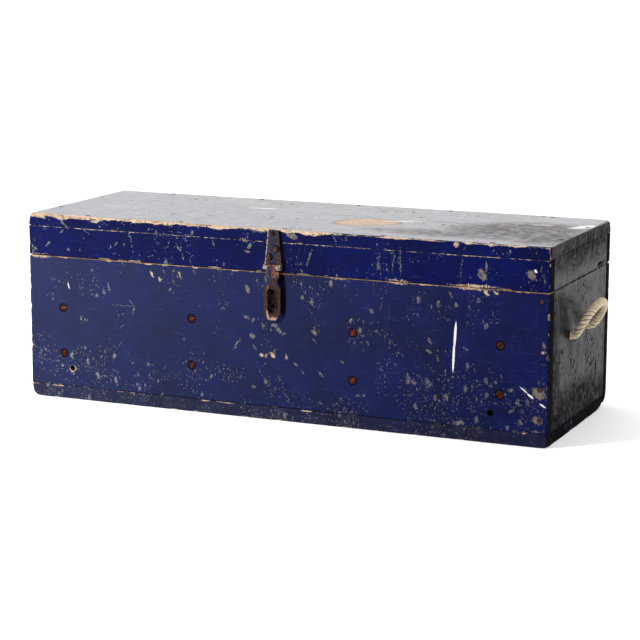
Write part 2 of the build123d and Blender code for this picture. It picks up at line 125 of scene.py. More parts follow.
class Shader:
    """One material, built node by node, and its colour so far.

    A value is a number, a vector, a colour or another node's output.
    """

    def __init__(self, name):
        self.material = bpy.data.materials.new(name)
        self.material.use_nodes = True
        self.material.node_tree.nodes.clear()
        self.make = partial(new_node, self.material.node_tree)
        self.place = self.vector("SCALE", self.make("TexCoord", output=3), scale=1000)

    def math(self, operation, a, b=0.0, c=0.0):
        return self.make("Math", {0: a, 1: b, 2: c}, operation=operation)

    def add(self, a, b):
        return self.math("ADD", a, b)

    def minus(self, a, b):
        return self.math("SUBTRACT", a, b)

    def times(self, a, b):
        return self.math("MULTIPLY", a, b)

    def line(self, value, slope, start):
        """value * slope + start."""
        return self.math("MULTIPLY_ADD", value, slope, start)

    def highest(self, *values):
        total = values[0]
        for value in values[1:]:
            total = self.math("MAXIMUM", total, value)
        return total

    def vector(self, operation, a, b=(0, 0, 0), scale=None):
        values = {0: a, 1: b}
        if scale is not None:
            values = {0: a, "Scale": scale}
        output = 1 if operation == "DOT_PRODUCT" else 0
        return self.make("VectorMath", values, output, operation=operation)

    def mix(self, share, a, b):
        """A mix of two colours, which may be given as rgb's three values."""
        a, b = (rgb(*colour) if isinstance(colour, tuple) else colour for colour in (a, b))
        return self.make("Mix", {0: share, 6: a, 7: b}, 2, data_type="RGBA")

    def cover(self, share, tint):
        """Lay a tint over the colour so far."""
        self.colour = self.mix(share, self.colour, tint)

    def even(self, value, low, high, to_low=0.0, to_high=1.0, way="LINEAR"):
        """What goes from to_low to to_high while the value goes from low to high, in a straight line."""
        values = {0: value, 1: low, 2: high, 3: to_low, 4: to_high}
        return self.make("MapRange", values, interpolation_type=way)

    def ramp(self, value, low, high, to_low=0.0, to_high=1.0):
        """The same with an easy start and end."""
        return self.even(value, low, high, to_low, to_high, "SMOOTHSTEP")

    def patches(self, noise, *limits):
        """A ramp of the noise with these settings."""
        return self.ramp(self.noise(*noise), *limits)

    def scaled(self, size, shift=0.0, place=None):
        """The place divided by a size in mm, one for each axis."""
        sizes = size if isinstance(size, tuple) else (size,) * 3
        values = {0: place or self.place, 1: [shift] * 3, 3: [1 / s for s in sizes]}
        return self.make("Mapping", values)

    def noise(self, size, shift=0.0, detail=3.0, rough=0.55, place=None, output=0):
        """Noise about 0.5 whose blobs have this size in mm. shift picks another part of it."""
        values = {"Vector": self.scaled(size, shift, place), "Scale": 1.0, "Detail": detail, "Roughness": rough}
        return self.make("TexNoise", values, output)

    def warped(self, amount, size, shift=0.0, place=None):
        """The place moved about by noise, so that what is drawn there has a ragged outline."""
        noise = self.noise(size, shift, 2, place=place, output=1)
        push = self.vector("SCALE", self.vector("SUBTRACT", noise, (0.5, 0.5, 0.5)), scale=2 * amount)
        return self.vector("ADD", place or self.place, push)

    def split(self, place=None):
        """A place's three coordinates."""
        return self.make("SeparateXYZ", {0: place or self.place}).node.outputs

    def flat(self, place, axis):
        """The place seen along one axis, as a flat pattern's two coordinates."""
        split = self.split(place)
        across, along = {"x": (1, 2), "y": (0, 2), "z": (0, 1)}[axis]
        return self.make("CombineXYZ", {0: split[across], 1: split[along]})

    def spots(self, flat, cell, biggest, share, shift=0.0, extra=0.0):
        """Scattered spots in a flat pattern: how far inside one a point is, in mm."""
        sizes = cell if isinstance(cell, tuple) else (cell, cell)
        values = {"Vector": self.scaled((*sizes, 1.0), shift, flat), "Scale": 1.0}
        node = self.make("TexVoronoi", values, 1, voronoi_dimensions="2D").node
        own = self.make("SeparateColor", {0: node.outputs["Color"]})
        size = self.even(self.add(own, extra), 1 - share, 1.0, 0, biggest)
        return self.line(node.outputs["Distance"], -min(sizes), size)

    def marks(self, place, spots, axis):
        """How far inside one of the marks that are listed for a face, in mm.

        A mark is (across, along, half length, half width, angle in degrees).
        """
        total = None
        for u, v, length, width, angle in spots:
            c, n = math.cos(math.radians(angle)), math.sin(math.radians(angle))
            centre, way, over = {
                "y": ((u, 0, v), (c, 0, n), (-n, 0, c)),
                "z": ((u, v, 0), (c, n, 0), (-n, c, 0)),
                "x": ((0, u, v), (0, c, n), (0, -n, c)),
            }[axis]
            local = self.vector("SUBTRACT", place, centre)
            far = self.vector("DOT_PRODUCT", local, [w / length for w in way])
            off = self.vector("DOT_PRODUCT", local, [w / width for w in over])
            square = self.line(off, off, self.times(far, far))
            inside = self.line(square, -width / 2, width / 2)
            total = inside if total is None else self.highest(total, inside)
        return total

    def finish(self, roughness, height=None, specular=0.5, **others):
        """The surface itself, in the colour so far. The height is in mm."""
        values = {"Base Color": self.colour, "Roughness": roughness, "Specular IOR Level": specular}
        for key, value in others.items():
            values[key.replace("_", " ")] = value
        if height is not None:
            values["Normal"] = self.make("Bump", {"Height": height, "Distance": MM, "Strength": 1.0})
        self.make("OutputMaterial", {0: self.make("BsdfPrincipled", values)}, None)
        return self.material


def wood_grain(s, along, light, dark, shift=0):
    """Pine: broad growth bands, fine fibres and pores along one axis. Its colour and its height in mm."""
    def stretched(short, long):
        return tuple(long if axis == along else short for axis in "xyz")

    bands = s.noise(stretched(7, 260), shift, 2, 0.4)
    rings = s.math("PINGPONG", s.times(bands, 9), 1)
    fibres = s.noise(stretched(0.7, 28), shift, 4, 0.65)
    pores = s.patches((stretched(0.5, 9), shift + 3, 1), 0.62, 0.75)
    share = s.line(rings, 0.45, s.times(fibres, 0.6))
    colour = s.mix(s.ramp(share, 0.15, 0.95), light, dark)
    colour = s.mix(s.times(pores, 0.5), colour, (88, 58, 36))
    height = s.line(fibres, 0.22, s.times(rings, -0.12))
    return colour, height


def painted_board(
    name, face, along, hues, chips=1, dust=0, shine=(0.3, 0.45), specular=0.5, features=None, low=0,
    right=0, relief=1, left_sheen=0, soft=0.45, cloud=26, cloud_detail=4, fade=8, matt=0.3, kept=0,
    rough_paint=1, murk=(16, 12, 12), ior=1.5
):
    """Old navy paint that is chipped to its undercoat and worn to the wood at the arrises.

    face is the axis that the board's main face looks along, and along the axis of its grain.
    features(s, ragged) gives the listed marks, as a dict of kind to distance inside, in mm.
    chips says how many there are, and low and right how many more there are low down and to the right.
    dust adds to the clouds of the palest hue, whose size is cloud, and left_sheen lays painted light over the
    left: a grey sheen that fades towards the right.
    shine is the least and the most roughness.
    soft and fade blur the outlines of bare and of dark marks, and murk and matt are the colour and the
    dullness of the dark ones. kept narrows the worn strip along the top on the right.
    rough_paint scales the dirt and the scratches, and relief the bumps.
    """
    s = Shader(name)
    ragged = s.warped(1.2, 2.1, 4, s.warped(3, 7.5, 1))
    found = dict.fromkeys(("chip", "bare", "stain", "white", "dark", "pale"), -20)
    found.update(features(s, ragged) if features else {})
    wear = s.make("Attribute", output=2, attribute_name="wear")

    # More chips low down and towards the right, in drifts.
    x, _, z = s.split()
    extra = s.patches((46, 7, 2), 0.34, 0.68, -0.42, 0.2)
    extra = s.add(extra, s.ramp(z, 0, 190, low, 0))
    extra = s.add(extra, s.even(x, -420, 420, -right, right))
    flat = s.flat(ragged, face)
    big = s.spots(flat, (15, 26), 3.7, 0.055 * chips, 2, extra)
    small = s.spots(flat, (7, 12), 2.1, 0.135 * chips, 9, extra)
    lowest = s.add(extra, s.ramp(z, 20, 95, 1.4 * low, 0))
    specks = s.spots(flat, 3.7, 0.95, 0.19 * chips, 5, lowest)
    crumble = s.times(s.patches((2, 3, 3, 0.7), 0.36, 0.64), 1.5)
    flakes = s.minus(s.highest(big, small), s.times(crumble, 1.1))
    eaten = s.line(s.highest(found["chip"], 0), 0.45, 0.25)
    placed = s.minus(found["chip"], s.times(crumble, eaten))
    chip = s.highest(flakes, specks, placed)
    ripple = s.line(s.noise(7, 6, 5, 0.75), 6.6, -3.3)
    spared = s.times(s.ramp(x, -30, 140, 0, -kept), s.ramp(z, 272, 280))
    worn = s.add(s.add(wear, ripple), spared)
    laid_bare = s.minus(found["bare"], crumble)
    bare = s.highest(worn, laid_bare)
    chip = s.highest(chip, s.add(bare, 0.5))

    # Paint: drifts of hue, faint brush marks, rubbed scratches and dirt, and a painted sheen on the left.
    deep, plain, pale = hues
    s.colour = s.mix(s.patches((60, 11, 3), 0.3, 0.7), deep, plain)
    brush = s.noise(tuple(90 if a == along else 1.6 for a in "xyz"), 2, 3)
    s.cover(s.ramp(brush, 0.45, 0.8, 0, 0.12 * rough_paint), pale)
    s.cover(s.patches((cloud, 5.5, cloud_detail, 0.6), 0.45, 0.75, 0, 0.3 + dust), pale)
    scratch = s.highest(
        s.patches(((34, 34, 0.55), 8, 1), 0.72, 0.79),
        s.patches(((0.5, 0.5, 26), 1.5, 1), 0.74, 0.79),
    )
    s.cover(s.times(scratch, 0.25 * rough_paint), (104, 108, 150))
    s.cover(s.patches((38, 14, 5, 0.7), 0.52, 0.76, 0, 0.55 * rough_paint), (10, 10, 20))
    s.cover(s.ramp(found["pale"], -8, 8, 0, 0.5), pale)
    # Painted light: a grey sheen over the left, where the light falls most, fading towards the right.
    if left_sheen:
        s.cover(s.even(x, -420, 380, left_sheen, 0), (70, 77, 104))

    # Undercoat: lavender rims round grey-green or tan.
    under = s.mix(s.patches((7, 21, 1), 0.34, 0.48), (86, 91, 112), (102, 100, 86))
    under = s.mix(s.patches((13, 31, 1), 0.62, 0.68, 0, 0.8), under, (134, 112, 86))
    under = s.mix(s.patches((1.1, 2.5, 2), 0.5, 0.75, 0, 0.7), under, (150, 152, 154))
    under = s.mix(s.ramp(x, 365, 400, 0, 0.6), under, (92, 74, 64))
    under = s.mix(s.patches((2.2, 8.5, 2), 0.45, 0.65, 0, 0.8), under, (40, 42, 58))
    under = s.mix(s.ramp(x, -50, 330, 0, 0.35), under, (34, 38, 78))
    under = s.mix(s.ramp(placed, 0.3, 1.2, 0, 0.6), under, (118, 112, 86))
    # Paler towards the left: painted light, where the light falls most.
    under = s.mix(s.even(x, -420, 0, 0.38, 0), under, (136, 142, 160))
    chipped = s.ramp(chip, 0, 0.3)
    thin = s.patches((3.2, 41, 2), 0.3, 0.55, 0.25, 0.85)
    s.cover(s.times(chipped, thin), under)
    rim = s.times(s.ramp(chip, -0.35, 0), s.ramp(chip, 0, 0.25, 1, 0))
    s.cover(s.times(rim, 0.35), (8, 8, 30))

    # Bare wood, and dirt ground into it.
    wood, grain = wood_grain(s, along, (190, 168, 145), (158, 130, 104))
    wood = s.mix(s.patches((4.5, 17, 3, 0.7), 0.48, 0.66, 0, 0.85 * rough_paint), wood, (70, 46, 38))
    shown = s.highest(s.ramp(worn, 0, 0.45), s.ramp(laid_bare, 0.45 - soft, soft))
    s.cover(shown, wood)

    # Stains and painted shadows, dark marks (with a painted reflection among them on the ends), and white paint on
    # top.
    stain_and_shadow_mask = s.ramp(found["stain"], -0.4, 1)
    patchy = s.patches((15, 19, 4, 0.7), 0.34, 0.6, 0.3, 1)
    shaded = s.times(s.ramp(found["dark"], -fade, fade), patchy)
    s.cover(s.times(stain_and_shadow_mask, 0.92), (12, 7, 9))
    s.cover(s.times(shaded, 0.6), murk)
    dull = s.line(shaded, -0.65, 1)
    gloss = s.times(s.line(stain_and_shadow_mask, -0.95, 1), s.times(dull, specular))
    white = s.ramp(found["white"], 0.3 - soft, soft)
    s.cover(white, (200, 199, 196))

    roughness = s.patches((16, 12, 4), 0.3, 0.7, *shine)
    roughness = s.even(s.highest(chipped, shown, stain_and_shadow_mask, s.times(shaded, matt)), 0, 1, roughness, 0.75)
    roughness = s.highest(roughness, s.times(stain_and_shadow_mask, 0.97))
    height = s.line(chipped, -0.16, s.times(brush, 0.04 * relief))
    height = s.line(stain_and_shadow_mask, -0.12, height)
    height = s.add(height, s.times(shown, s.minus(grain, 0.16)))
    height = s.add(height, s.times(white, 0.15))
    height = s.add(height, s.times(s.noise(2.6, 3.3, 4, 0.6), 0.09 * relief))
    height = s.add(height, s.times(scratch, -0.04))
    return s.finish(roughness, height, gloss, IOR=ior)


# Marks on the front: (x, z, half length, half width, angle in degrees).
SCREW_SPOTS = [(x, z) for x in (-360, -139, 123, 348) for z in (72, 143)]
FRONT_MARKS = {
    "chip": [
        (-350, 178, 7, 1.4, -77), (-280, 182, 8, 2.4, -82), (-184, 210, 7, 1.4, -42), (-133, 214, 6, 1.4, -51),
        (-46, 195, 7, 3.5, -78), (-48, 153, 8, 3, -20), (-36, 149, 6, 2.6, 60), (-2, 144, 7, 3, 0),
        (5, 137, 8, 3.4, -40), (-38, 125, 6, 4.6, -42), (-64, 110, 14, 2, 57), (-33, 108, 6, 2.1, -51),
        (-20, 140, 5, 2, 70), (14, 132, 6, 2, 30), (62, 138, 6, 3.4, -39), (62, 126, 6, 2.1, -27),
        (33, 88, 6, 2.1, -23), (44, 78, 6, 2.1, -66), (73, 76, 7, 2.1, -42), (5, 65, 7, 1.4, -56),
        (-36, 48, 5, 2.8, -13), (72, 34, 5, 2.1, -17), (132, 50, 6, 2.1, -10), (142, 50, 3, 2.8, -39),
        (152, 177, 5, 3.2, -42), (168, 187, 11, 1.3, 81), (169, 198, 6, 1, 27), (106, 98, 5, 2.2, -10),
        (210, 86, 7, 2.8, -58), (226, 88, 7, 1.4, -21), (218, 78, 5, 2.8, -29), (243, 76, 9, 2.6, 37),
        (244, 78, 6, 2.1, -48), (242, 140, 7, 2.8, -54), (240, 126, 6, 2.8, -18), (255, 116, 6, 2.1, -70),
        (296, 134, 6, 2.1, -9), (405, 40, 9, 6.5, -29), (406, 79, 11, 9, -38), (412, 148, 7, 3.5, -73),
        (364, 80, 5, 2.8, 18), (366, 50, 5, 2.8, 29), (376, 60, 6, 2.1, -9), (380, 35, 5, 2.8, -24),
        (288, 25, 11, 4.2, 8), (404, 24, 13, 2.2, 2), (273, 210, 8, 2, -65), (281, 196, 4.5, 2.8, -60),
        (-256, 154, 29, 1.2, 1), (-238, 148, 11, 1.5, 79), (-242, 161, 8, 1.4, -45),
    ],
    "bare": [
        (-205, 206, 6, 3, -61), (-192, 199, 5, 2.8, -73), (-158, 208, 8, 2, -63), (-23, 98, 4, 3.2, -8),
        (-15, 97, 4, 3, 40), (-5, 99, 6, 3.6, -29), (-2, 105, 4, 2, 80), (17, 98, 5, 2, -79),
        (326, 216, 6, 3.4, -35), (340, 217, 5, 3, -36), (-345.5, 48, 7, 6, 30), (412, 138, 5, 2.2, 0),
        (194, 221, 16, 2.2, -3), (305, 221, 38, 2.2, -1), (102, 221, 16, 2, 0), (-398, 220, 20, 2, 0),
    ],
    "white": [
        (-350, 178, 6, 1, -77), (280.4, 152, 21, 2, 87), (278.6, 121, 24, 1.8, 88), (384, 82, 8, 1, -36),
        (394, 74, 6, 1.6, -34), (412, 62, 6, 1.3, -29),
    ],
    # Dark stains round the screws, nails and holes, along the foot's seam and in a thin line; the last two, right
    # of the hasp's strap and neck, are painted shadow of the hasp.
    "stain": [(x, z, 7.5, 7.5, 0) for x, z in SCREW_SPOTS] + [
        (0, 20.4, 600, 1.3, 0), (407.5, 210, 4.4, 4.4, 0), (407.5, 40, 4, 4, 0), (407.5, 84, 4, 4, 0),
        (334.7, 44.3, 5.2, 5.2, 0), (-345.5, 49, 4.8, 4.8, 0), (293, 192, 24, 0.7, 90), (12.5, 189, 32, 5, 90),
        (10, 215, 10, 5.5, 90),
    ],
}
LID_MARKS = {
    "chip": [
        (-360, 277, 20, 2.1, -40), (-360, 262, 5, 2.1, 36), (-386, 240, 8, 1.9, 45), (-410, 231, 7, 2.1, 42),
        (-349, 234, 4, 2.1, 21), (-318, 264, 12, 1.3, -28), (-266, 248, 6, 2, 64), (-276, 243, 4, 1.5, 49),
        (-242, 262, 12, 1.3, -69), (-148, 266, 7, 1.5, 85), (-160, 250, 8, 2.2, -58), (-152, 235, 8, 1.5, -72),
        (-102, 260, 6, 1.8, -68), (-50, 268, 5, 3, -40), (-42, 260, 6, 3.4, 50), (-47, 251, 5, 2.4, 0),
        (26, 279, 11, 5.6, -28), (54, 248, 17, 2.1, 69), (94, 278, 9, 1.7, -60), (162, 252, 18, 1.6, 80),
        (185, 250, 20, 1.5, 86), (196, 251, 26, 1.8, -88), (219, 274, 6, 0.8, 56), (288, 252, 21, 1.3, 84),
        (292, 277, 8, 0.9, 48), (319, 242, 10, 6.4, -69), (325, 254, 11, 2.6, -85), (392, 246, 8, 6.4, -62),
        (-30, 283, 16, 3, -6), (405, 256, 6, 2, 80), (411, 240, 8, 2, 88),
    ],
    "bare": [
        (280, 283, 6, 4, -73), (-400, 225, 14, 1.2, 0), (194, 224.5, 20, 1.8, -2), (305, 225, 42, 2.6, 1),
        (-395, 283, 8, 3, -30), (-300, 281, 12, 3, 10),
    ],
    "white": [(398, 252, 3.4, 2, -39)],
    # The nail's stain, then painted shadow of the hasp to the right of its leaf and of its barrel.
    "stain": [(409, 245.8, 4.4, 4.4, 0), (9.4, 262, 31, 3.5, 95.7), (12, 236, 12, 5.5, 90)],
}


def by_hand(table, white_warp=None):
    """A front face's marks. white_warp is how the white paint's outline is warped, if not as the chips' is."""
    def features(s, ragged):
        warps = {"white": white_warp, "stain": (0.8, 5, 2)}
        return {
            kind: s.marks(s.warped(*warps[kind]) if warps.get(kind) else ragged, marks, "y")
            for kind, marks in table.items()
        }

    return features


def top_features(s, ragged):
    """The top: a bare oval, white smears, thin dark streaks and two wide patches of dirt."""
    wide = s.warped(5, 26, 8, s.warped(2.5, 7, 3))
    streaks = s.spots(s.flat(s.warped(9, 34, 5), "z"), (80, 16), 1.9, 0.22, 4)
    white = [(139, 4, 20, 5, 25), (403, 58, 24, 10, 60), (340, 53, 11, 3, 13), (-110, 48, 16, 3, 10)]
    lines = [(296, -16, 22, 2, 30), (205, 20, 40, 1.5, -6)]
    pale = [(-20, -20, 60, 16, 10), (40, 60, 90, 18, 4), (-150, 90, 70, 16, 0), (-330, -30, 40, 24, 20)]
    return {
        "bare": s.marks(wide, [(95, -29, 52, 34, 27), (-395, -146, 20, 5, 0)], "z"),
        "white": s.marks(wide, white, "z"),
        "stain": s.highest(s.minus(streaks, 1), s.marks(wide, lines, "z")),
        "dark": s.marks(wide, [(325, -8, 100, 74, 30), (255, -90, 105, 26, 0), (385, -60, 46, 70, 0)], "z"),
        "pale": s.marks(wide, pale, "z"),
    }


def end_features(s, ragged):
    """The ends: dark flecks, lines between the boards, darker bands low down, near the front and under the lid,
    and a painted dark reflection of the rope handle.
    """
    z = s.split()[2]
    more = s.add(s.patches((50, 3, 2), 0.35, 0.65, -0.3, 0.2), s.ramp(z, 60, 170, 0.12, -0.1))
    flecks = s.spots(s.flat(s.warped(1.6, 7, 1), "x"), (7, 11), 2.6, 0.42, 4, more)
    tiny = s.spots(s.flat(s.warped(1, 4, 6), "x"), (4, 7), 1.5, 0.36, 8, more)
    lines = [
        (-99.4, 110, 115, 1.3, 90), (124.6, 110, 115, 1.3, 90), (97, 227.5, 14, 3.4, 2), (24, 277, 10, 2, 90),
        (-97, 246, 20, 1, 90), (0, 222.4, 160, 1.4, 0), (0, 268, 160, 1, 0), (-129, 110, 115, 1.6, 90),
    ]
    # The last dark mark, beside the rope's near hole, is a painted dark reflection of the rope handle in the
    # glossy paint.
    dark = [(10, -5, 230, 70, -4), (-130, 80, 100, 24, 90), (0, 268, 200, 22, 0), (-76, 172, 40, 13, -50)]
    return {
        "stain": s.highest(flecks, tiny, s.marks(s.warped(0.8, 9, 2), lines, "x")),
        "dark": s.marks(s.warped(8, 30, 2), dark, "x"),
    }


def dark_edges(s, ragged):
    """The ends of the long boards: dark flecks."""
    return {"stain": s.spots(s.flat(s.warped(1.6, 7, 1), "x"), (7, 20), 3, 0.5, 4)}


BODY_HUES = ((1, 6, 43), (3, 10, 58), (14, 22, 70))
FOOT_HUES = ((8, 9, 30), (15, 16, 46), (44, 42, 60))
LID_HUES = ((0, 3, 45), (0, 7, 60), (5, 16, 78))
DULL_HUES = ((5, 5, 9), (10, 9, 14), (24, 22, 28))
TOP_HUES = ((36, 38, 56), (48, 48, 64), (80, 80, 92))

front_marks = by_hand(FRONT_MARKS, (0.35, 4, 9))
lid_marks = by_hand(LID_MARKS)
# left_sheen is painted light on the left of the front.
front_settings = {"low": 0.13, "right": 0.05, "left_sheen": 0.19}
body_paint = painted_board(
    "body_paint", "y", "x", BODY_HUES, 0.85, 0.06, (0.44, 0.6), 0.06, front_marks, **front_settings
)
foot_paint = painted_board("foot_paint", "y", "x", FOOT_HUES, 1.8, 0.12, (0.44, 0.6), 0.06, None, **front_settings)
lid_paint = painted_board(
    "lid_paint", "y", "x", LID_HUES, 0.5, -0.05, (0.42, 0.55), 0.04, lid_marks, left_sheen=0.03, kept=2.9
)
top_paint = painted_board(
    "top_paint", "z", "x", TOP_HUES, 0.3, 0.2, (0.23, 0.28), 0.5, top_features, relief=0, soft=6, cloud=90,
    cloud_detail=2, fade=26, kept=2.9, rough_paint=0.4, matt=0.5, murk=(66, 50, 38)
)
end_paint = painted_board(
    "end_paint", "x", "z", DULL_HUES, 0.15, 0, (0.24, 0.38), 0.14, end_features, relief=0.4, fade=20, matt=0.8,
    ior=1.3
)
edge_paint = painted_board("edge_paint", "x", "z", DULL_HUES, 0.3, 0, (0.8, 0.95), 0.05, dark_edges, ior=1.25)
back_paint = painted_board("back_paint", "y", "x", BODY_HUES, 0.9, 0.1, (0.34, 0.5), 0.2, None, 0.1)


def bare_board(name, along, light, dark):
    """Unpainted pine inside the chest, darkened with age, with stains and dents."""
    s = Shader(name)
    s.colour, height = wood_grain(s, along, light, dark, 2)
    s.cover(s.patches((70, 3, 4), 0.4, 0.75, 0, 0.5), (104, 76, 50))
    # A flat pattern that isn't stretched on any of the board's long faces.
    split = s.split(s.warped(3, 12, 2))
    own = "xyz".index(along)
    round_board = s.add(split[(own + 1) % 3], split[(own + 2) % 3])
    dark_marks = s.spots(s.make("CombineXYZ", {0: split[own], 1: round_board}), 60, 6, 0.3, 1)
    s.cover(s.ramp(dark_marks, -2, 3, 0, 0.5), (52, 38, 30))
    scratch = s.patches(((0.6, 30, 30) if along != "x" else (30, 0.6, 0.6), 6, 1), 0.66, 0.76)
    s.cover(s.times(scratch, 0.3), (206, 172, 128))
    height = s.add(height, s.times(s.noise(14, 4, 2), 0.2))
    return s.finish(s.patches((20, 1), 0.3, 0.7, 0.55, 0.75), height, 0.3)


raw_x = bare_board("raw_wood_x", "x", (206, 168, 122), (158, 112, 72))
raw_y = bare_board("raw_wood_y", "y", (204, 166, 120), (156, 110, 70))
runner_wood = bare_board("runner_wood", "x", (190, 150, 104), (140, 98, 62))


def rust(name, tones, paint=None, paint_place=None, metal=0.35, grain=2.2, gloss=0.2, rubbed=None):
    """Rusted iron, pitted. Some has the rest of a coat of paint where paint_place is above 0, and rubbed adds
    paler rubbed metal, painted highlights and painted shade.
    """
    s = Shader(name)
    dark, middle, bright = tones
    s.colour = s.mix(s.patches((grain * 2.2, 1, 5, 0.65), 0.35, 0.65), dark, middle)
    s.cover(s.patches((grain, 7, 4, 0.7), 0.54, 0.74, 0, 0.85), bright)
    if rubbed:
        rubbed(s)
    pits = s.patches((0.55 * grain, 3, 3, 0.6), 0.55, 0.72)
    s.cover(s.times(pits, 0.7), (24, 14, 14))
    roughness = s.patches((3, 5, 3), 0.3, 0.7, 0.5, 0.8)
    height = s.line(pits, -0.12, s.times(s.noise(0.9, 2, 4), 0.1))
    metallic = metal
    if paint:
        left = s.ramp(paint_place(s), 0, 0.35)
        s.cover(left, s.mix(s.patches((5, 2), 0.45, 0.75), paint, (30, 32, 56)))
        height = s.line(left, 0.1, height)
        metallic = s.even(left, 0, 1, metal, 0)
    return s.finish(roughness, height, gloss, Metallic=metallic)


def leaf_paint(s):
    """Paint is left on the upper leaf except along its slanted edges and its foot."""
    x, _, z = s.split(s.warped(2.2, 4.5, 3))
    half = s.even(z, LEAF_FOOT, LEAF_TOP, 12.8, 8)
    side = s.minus(half, s.math("ABSOLUTE", s.add(x, -HASP_X)))
    worn = s.line(s.noise(6, 4, 3, 0.7), 7, 1)
    foot = s.even(z, 238, 250, 5, 0)
    return s.minus(s.minus(side, worn), foot)


def pad_paint(s):
    """A little paint is left on the strap, mostly above its slot."""
    low = s.even(s.split()[2], 190, 206, -3.5, 0.3)
    return s.add(low, s.line(s.noise(5, 8, 4, 0.7), 9, -4.6))


def knuckle_rub_and_highlight(s):
    """The leaf's barrel and its left edge are paler: rubbed metal, and a painted highlight where the light from
    the left falls.
    """
    x, _, z = s.split(s.warped(0.8, 3, 6))
    left = s.add(x, s.even(z, LEAF_FOOT, LEAF_TOP, 16, 11))
    share = s.highest(s.ramp(z, LEAF_FOOT, LEAF_FOOT - 2), s.ramp(left, 1.8, 0.6))
    patchy = s.patches((3.5, 2, 3), 0.38, 0.6, 0.1, 0.85)
    s.cover(s.times(share, patchy), (176, 150, 140))


def strap_rub_and_highlight(s):
    """The strap is paler on the left of its slot and at its tip: rubbed metal, with a painted highlight on the
    slot's left rim, which faces the light. It is rusty at its neck.
    """
    x, _, z = s.split(s.warped(0.8, 3, 6))
    left = s.times(s.ramp(x, -8, -9), s.ramp(x, -12, -10.8))
    rim = s.times(left, s.ramp(z, 206, 200))
    share = s.highest(rim, s.ramp(z, 159, 155))
    patchy = s.patches((4, 2, 3), 0.4, 0.6, 0.1, 0.9)
    s.cover(s.times(share, patchy), (168, 134, 116))
    s.cover(s.times(s.ramp(z, 214, 219), 0.6), (134, 84, 50))


def dome_highlight_and_shade(s):
    """A domed head: a painted highlight on top, and painted shade, near black, round its foot where it meets the
    leaf.
    """
    out = s.split()[1]
    s.cover(s.ramp(out, -158.8, -157.8, 0.4, 0), (180, 130, 100))
    s.cover(s.ramp(out, -158, -156, 0, 0.95), (10, 6, 6))


def nail_paint(s):
    """Most nails are still painted over."""
    x, _, z = s.split()
    cover = s.line(s.noise(34, 5, 4, 0.7), 6, -1.6)
    cover = s.add(cover, s.ramp(z, 215, 240, 0, 3))
    return s.add(cover, s.ramp(x, 200, 420, 0, -2.6))


leaf_metal = rust(
    "leaf_metal", ((24, 17, 20), (52, 42, 46), (122, 104, 100)), (12, 14, 36), leaf_paint, rubbed=knuckle_rub_and_highlight
)
strap_metal = rust(
    "strap_metal", ((24, 13, 13), (58, 34, 30), (130, 88, 70)), (14, 18, 50), pad_paint, rubbed=strap_rub_and_highlight
)
old_iron = rust("old_iron", ((48, 26, 22), (104, 62, 46), (166, 110, 84)))
# Near-black for the staple and its plate, far darker than the other rust, so that the slot under the strap reads
# dark: painted shade.
dark_iron = rust("dark_iron", ((6, 4, 4), (16, 9, 8), (44, 28, 20)), metal=0.1, grain=1.5, gloss=0.08)


def slotted_screw(name):
    """A dark rusted head whose slot is scraped bright by a screwdriver."""
    s = Shader(name)
    x, y, _ = s.split()
    s.colour = s.mix(s.ramp(x, -60, 100), (40, 11, 9), (58, 15, 10))
    s.cover(s.patches((2.4, 7, 4, 0.7), 0.5, 0.66, 0, 0.7), (8, 4, 4))
    s.cover(s.patches((1.5, 9, 2), 0.66, 0.76, 0, 0.7), (96, 48, 30))
    # A near-black ring round each head's rim, where it sits in its hole: painted shade in the gap, with rust.
    inside = s.marks(s.place, [(x, z, 5.6, 5.6, 0) for x, z in SCREW_SPOTS], "y")
    ring = s.times(s.ramp(inside, 0.2, 1.3, 0.9, 0), s.ramp(inside, -1.5, -1))
    s.cover(ring, (5, 4, 6))
    sunk = s.minus(HALF_DEPTH, s.math("ABSOLUTE", y))
    scraped = s.times(s.ramp(sunk, 0.25, 0.8), s.patches((3, 2), 0.36, 0.5))
    s.cover(scraped, s.mix(s.ramp(x, 150, 300), (190, 108, 66), (14, 6, 6)))
    height = s.times(s.noise(0.8, 3, 4), 0.12)
    return s.finish(s.patches((2, 5), 0.3, 0.7, 0.4, 0.7), height, 0.1, Metallic=0.1)


screw_metal = slotted_screw("screw_metal")
nail_metal = rust("nail_metal", ((20, 11, 12), (62, 28, 22), (104, 56, 42)), (8, 15, 62), nail_paint, 0.2, 1.3)
dome_metal = rust(
    "dome_metal", ((40, 22, 19), (92, 54, 42), (150, 104, 80)), metal=0.5, grain=1.8, rubbed=dome_highlight_and_shade
)
hinge_metal = rust("hinge_metal", ((40, 26, 26), (90, 56, 46), (140, 98, 78)), (10, 15, 50), pad_paint)


def rope_material(name):
    """Cotton rope: fine yarns, a little fuzz, patches of dirt, and painted shade in the grooves between yarns and
    between strands.
    """
    s = Shader(name)
    across = s.make("Attribute", output=2, attribute_name="yarn")
    deep = s.make("Attribute", output=2, attribute_name="valley")
    fibre = s.noise(0.5, 1, 4, 0.7)
    s.colour = s.mix(s.patches((9, 3, 3), 0.3, 0.7), (222, 206, 180), (200, 182, 152))
    s.cover(s.ramp(fibre, 0.4, 0.7, 0, 0.4), (238, 226, 204))
    # Darker between the yarns and, far more, between the strands: painted shade in the grooves.
    s.cover(s.ramp(across, 0, 1, 0, 0.35), (160, 130, 88))
    s.cover(s.ramp(deep, 0.1, 0.5, 0, 0.95), (82, 58, 36))
    s.cover(s.patches((13, 12, 4, 0.7), 0.55, 0.8, 0, 0.45), (140, 116, 84))
    height = s.line(fibre, 0.35, s.times(across, -0.12))
    return s.finish(0.88, height, 0.2, Sheen_Weight=0.25)


rope_yarn = rope_material("rope_yarn")


# Rope handles


